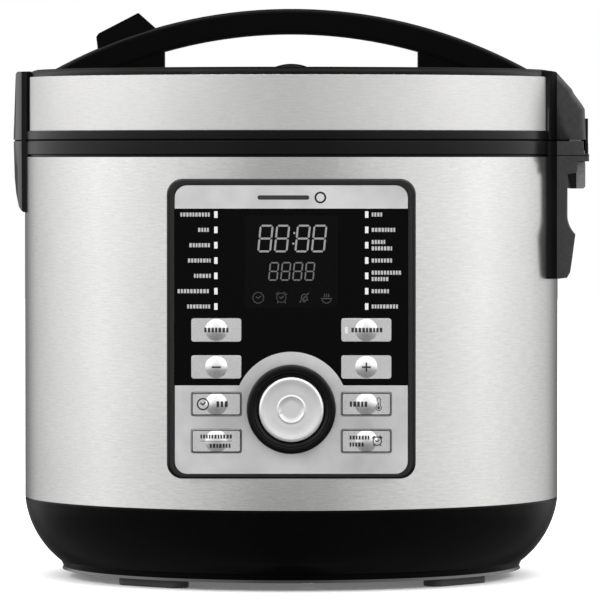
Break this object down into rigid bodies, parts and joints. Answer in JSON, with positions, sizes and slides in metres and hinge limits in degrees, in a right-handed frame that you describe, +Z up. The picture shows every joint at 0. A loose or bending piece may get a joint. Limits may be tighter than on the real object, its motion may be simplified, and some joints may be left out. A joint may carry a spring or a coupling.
{
  "type": "electric multicooker",
  "caption": "Round steel multicooker with a hinged lid, arched carrying handle, latch nose, flat front control panel with display, keys and dial.",
  "frame": {"origin": "on the axis of the round body, in the plane that the four feet rest on", "axes": "+Z up, -Y towards the control panel, +Y towards the mains socket, -X towards the lid latch, +X towards the lid hinge"},
  "size_m": [0.3007, 0.2924, 0.2975],
  "materials": {
    "steel": "horizontal brushed finish",
    "gloss_black": "polished black",
    "black_plastic": "fine satin",
    "panel_black": "film, black above and silver below",
    "silver_plastic": "satin silver paint",
    "dark_window": "smoked window",
    "lamp": "light silver",
    "rubber": "soft matt",
    "silicone": "translucent off-white",
    "aluminium": "spun",
    "pot_coating": "dark non-stick coating",
    "spring_steel": "plain",
    "brass": "plain",
    "ceramic_white": "plain",
    "board": "satin",
    "components": "plain"
  },
  "bodies": {
    "base": {"base_housing": "gloss_black", "bottom_cover": "black_plastic", "rubber_feet": "rubber", "base_screws": "spring_steel", "power_inlet": "black_plastic", "inlet_pins": "brass", "body_shell": "steel", "body_ring": "black_plastic", "inner_liner": "aluminium", "inner_pot": "pot_coating", "heating_plate": "aluminium", "heater_terminals": "brass", "thermal_fuse": "ceramic_white", "heat_shield": "aluminium", "sensor_spring": "spring_steel", "power_board": "board", "board_components": "components", "panel_frame": "gloss_black", "panel_plate": "panel_black", "display_window": "dark_window", "indicator_lenses": "lamp", "display_module": "components", "control_board": "board", "tact_switches": "components", "panel_carrier": "black_plastic", "dial_bush": "black_plastic", "latch_shield": "gloss_black", "latch_keeper": "spring_steel", "hinge_cover": "gloss_black", "hinge_bracket": "spring_steel", "hinge_pin": "spring_steel", "hinge_springs": "spring_steel"},
    "lid": {"lid_band": "steel", "lid_top_cover": "gloss_black", "lid_lower_housing": "black_plastic", "inner_lid": "aluminium", "lid_gasket": "silicone", "steam_vent": "black_plastic", "handle_upper": "gloss_black", "handle_lower": "gloss_black", "handle_screws": "spring_steel", "button_spring": "spring_steel", "latch_nose_cover": "gloss_black", "hook_pin": "spring_steel", "hinge_housing": "gloss_black"},
    "valve_cap": {"steam_valve_cap": "gloss_black"},
    "release_button_body": {"release_button": "gloss_black"},
    "hook": {"latch_hook": "spring_steel"},
    "cup": {"condensate_cup": "gloss_black"},
    "plunger": {"sensor_plunger": "aluminium"},
    "dial": {"dial_ring": "gloss_black"},
    "start": {"start_button": "silver_plastic"},
    "key_cancel": {"key_cancel": "silver_plastic"},
    "key_time": {"key_time": "silver_plastic"},
    "key_minus": {"key_minus": "silver_plastic"},
    "key_preheat": {"key_preheat": "silver_plastic"},
    "key_delayed_start": {"key_delayed_start": "silver_plastic"},
    "key_temperature": {"key_temperature": "silver_plastic"},
    "key_plus": {"key_plus": "silver_plastic"},
    "key_recipe": {"key_recipe": "silver_plastic"}
  },
  "joints": [
    {"name": "lid_hinge", "type": "hinge", "parent": "base", "child": "lid", "pos_m": [0.1465, 0, 0.232], "axis": [0, 1, 0], "range_deg": [0, 85]},
    {"name": "button_press", "type": "slide", "parent": "lid", "child": "release_button_body", "axis": [0, 0, -1], "range_m": [0, 0.003], "stiffness_N_per_m": 600, "springref_m": -0.003, "deforming": ["button_spring"]},
    {"name": "hook_turn", "type": "hinge", "parent": "lid", "child": "hook", "pos_m": [-0.1408, 0, 0.25], "axis": [0, -1, 0], "range_deg": [0, 4]},
    {"name": "valve_lift", "type": "slide", "parent": "lid", "child": "valve_cap", "axis": [0, 0, 1], "range_m": [0, 0.02]},
    {"name": "cup_slide", "type": "slide", "parent": "base", "child": "cup", "axis": [1, 0, 0], "range_m": [0, 0.03]},
    {"name": "sensor_press", "type": "slide", "parent": "base", "child": "plunger", "axis": [0, 0, -1], "range_m": [0, 0.002], "stiffness_N_per_m": 500, "springref_m": -0.003, "deforming": ["sensor_spring"]},
    {"name": "dial_turn", "type": "hinge", "parent": "base", "child": "dial", "pos_m": [0, -0.1415, 0.0935], "axis": [0, -1, 0], "continuous": true},
    {"name": "start_press", "type": "slide", "parent": "base", "child": "start", "axis": [0, 1, 0], "range_m": [0, 0.001], "stiffness_N_per_m": 800, "springref_m": -0.001},
    {"name": "key_cancel_press", "type": "slide", "parent": "base", "child": "key_cancel", "axis": [0, 1, 0], "range_m": [0, 0.0005], "stiffness_N_per_m": 1500, "springref_m": -0.0005},
    {"name": "key_time_press", "type": "slide", "parent": "base", "child": "key_time", "axis": [0, 1, 0], "range_m": [0, 0.0005], "stiffness_N_per_m": 1500, "springref_m": -0.0005},
    {"name": "key_minus_press", "type": "slide", "parent": "base", "child": "key_minus", "axis": [0, 1, 0], "range_m": [0, 0.0005], "stiffness_N_per_m": 1500, "springref_m": -0.0005},
    {"name": "key_preheat_press", "type": "slide", "parent": "base", "child": "key_preheat", "axis": [0, 1, 0], "range_m": [0, 0.0005], "stiffness_N_per_m": 1500, "springref_m": -0.0005},
    {"name": "key_delayed_start_press", "type": "slide", "parent": "base", "child": "key_delayed_start", "axis": [0, 1, 0], "range_m": [0, 0.0005], "stiffness_N_per_m": 1500, "springref_m": -0.0005},
    {"name": "key_temperature_press", "type": "slide", "parent": "base", "child": "key_temperature", "axis": [0, 1, 0], "range_m": [0, 0.0005], "stiffness_N_per_m": 1500, "springref_m": -0.0005},
    {"name": "key_plus_press", "type": "slide", "parent": "base", "child": "key_plus", "axis": [0, 1, 0], "range_m": [0, 0.0005], "stiffness_N_per_m": 1500, "springref_m": -0.0005},
    {"name": "key_recipe_press", "type": "slide", "parent": "base", "child": "key_recipe", "axis": [0, 1, 0], "range_m": [0, 0.0005], "stiffness_N_per_m": 1500, "springref_m": -0.0005}
  ],
  "couplings": [
    {"joint": "hook_turn", "follows": "button_press", "rad_per_m": 23}
  ]
}
